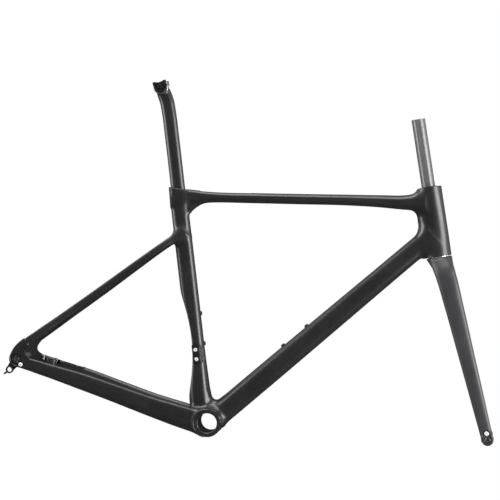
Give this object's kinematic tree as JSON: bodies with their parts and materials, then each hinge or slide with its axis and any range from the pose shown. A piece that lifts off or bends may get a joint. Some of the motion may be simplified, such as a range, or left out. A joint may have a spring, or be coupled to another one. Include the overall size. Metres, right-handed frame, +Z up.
{
  "type": "bicycle frameset",
  "caption": "Satin black carbon road bicycle frame with disc fork, long steerer, swept-back seatpost with saddle clamp, axles and derailleur hanger.",
  "frame": {"origin": "centre of the bottom bracket shell, on its axis", "axes": "+X forward, +Y to the rider's left along the bottom bracket axis, +Z up"},
  "size_m": [1.0318, 0.1627, 0.7373],
  "materials": {
    "satin_carbon": "satin clear coat over unpainted carbon",
    "matte_carbon": "matte clear coat over unpainted carbon, lighter than the frame",
    "sanded_carbon": "bare sanded carbon",
    "black_alloy": "black anodised",
    "bare_alloy": "bead-blasted",
    "steel": "bright machined",
    "rubber": "matte black"
  },
  "bodies": {
    "frame": {"head_tube": "satin_carbon", "bottom_bracket_shell": "satin_carbon", "down_tube": "satin_carbon", "seat_tube": "satin_carbon", "top_tube": "satin_carbon", "dropout_right": "satin_carbon", "chainstay_right": "satin_carbon", "seatstay_right": "satin_carbon", "dropout_left": "satin_carbon", "chainstay_left": "satin_carbon", "seatstay_left": "satin_carbon", "rear_brake_insert_1": "black_alloy", "rear_brake_insert_2": "black_alloy", "derailleur_hanger": "black_alloy", "hanger_nut": "black_alloy", "hanger_screw": "steel", "lower_bearing": "steel", "upper_bearing": "steel", "post_wedge": "black_alloy", "post_wedge_bolt": "steel", "clamp_cover": "rubber", "derailleur_plate": "black_alloy", "derailleur_plate_screw_1": "steel", "derailleur_plate_screw_2": "steel", "bottle_bolt_down_lower": "black_alloy", "bottle_bolt_down_upper": "black_alloy", "bottle_bolt_seat_lower": "black_alloy", "bottle_bolt_seat_upper": "black_alloy"},
    "fork": {"steerer": "sanded_carbon", "fork_crown": "matte_carbon", "fork_blade_right": "matte_carbon", "fork_blade_left": "matte_carbon", "front_brake_insert_1": "black_alloy", "front_brake_insert_2": "black_alloy", "fork_tip_insert": "rubber", "fork_tip_screw": "steel", "crown_race": "steel", "compression_ring": "black_alloy"},
    "rear_axle": {"rear_axle": "bare_alloy"},
    "front_axle": {"front_axle": "bare_alloy"},
    "post": {"seatpost": "satin_carbon"},
    "saddle_clamp": {"clamp_cradle_right": "bare_alloy", "clamp_ear_right": "black_alloy", "clamp_cradle_left": "bare_alloy", "clamp_ear_left": "black_alloy", "clamp_bolt": "steel", "clamp_nut": "black_alloy"}
  },
  "joints": [
    {"name": "steering", "type": "hinge", "parent": "frame", "child": "fork", "pos_m": [0.42067, 0, 0.42427], "axis": [-0.3107, 0, 0.9505], "range_deg": [-90, 90]},
    {"name": "post_height", "type": "slide", "parent": "frame", "child": "post", "axis": [-0.2773, 0, 0.9608], "range_m": [-0.09, 0.04]},
    {"name": "saddle_tilt", "type": "hinge", "parent": "post", "child": "saddle_clamp", "pos_m": [-0.215, 0, 0.681], "axis": [0, 1, 0], "range_deg": [-15, 15]},
    {"name": "rear_axle_pull", "type": "slide", "parent": "frame", "child": "rear_axle", "axis": [0, 1, 0], "range_m": [0, 0.17]},
    {"name": "front_axle_pull", "type": "slide", "parent": "fork", "child": "front_axle", "axis": [0, 1, 0], "range_m": [0, 0.135]}
  ]
}
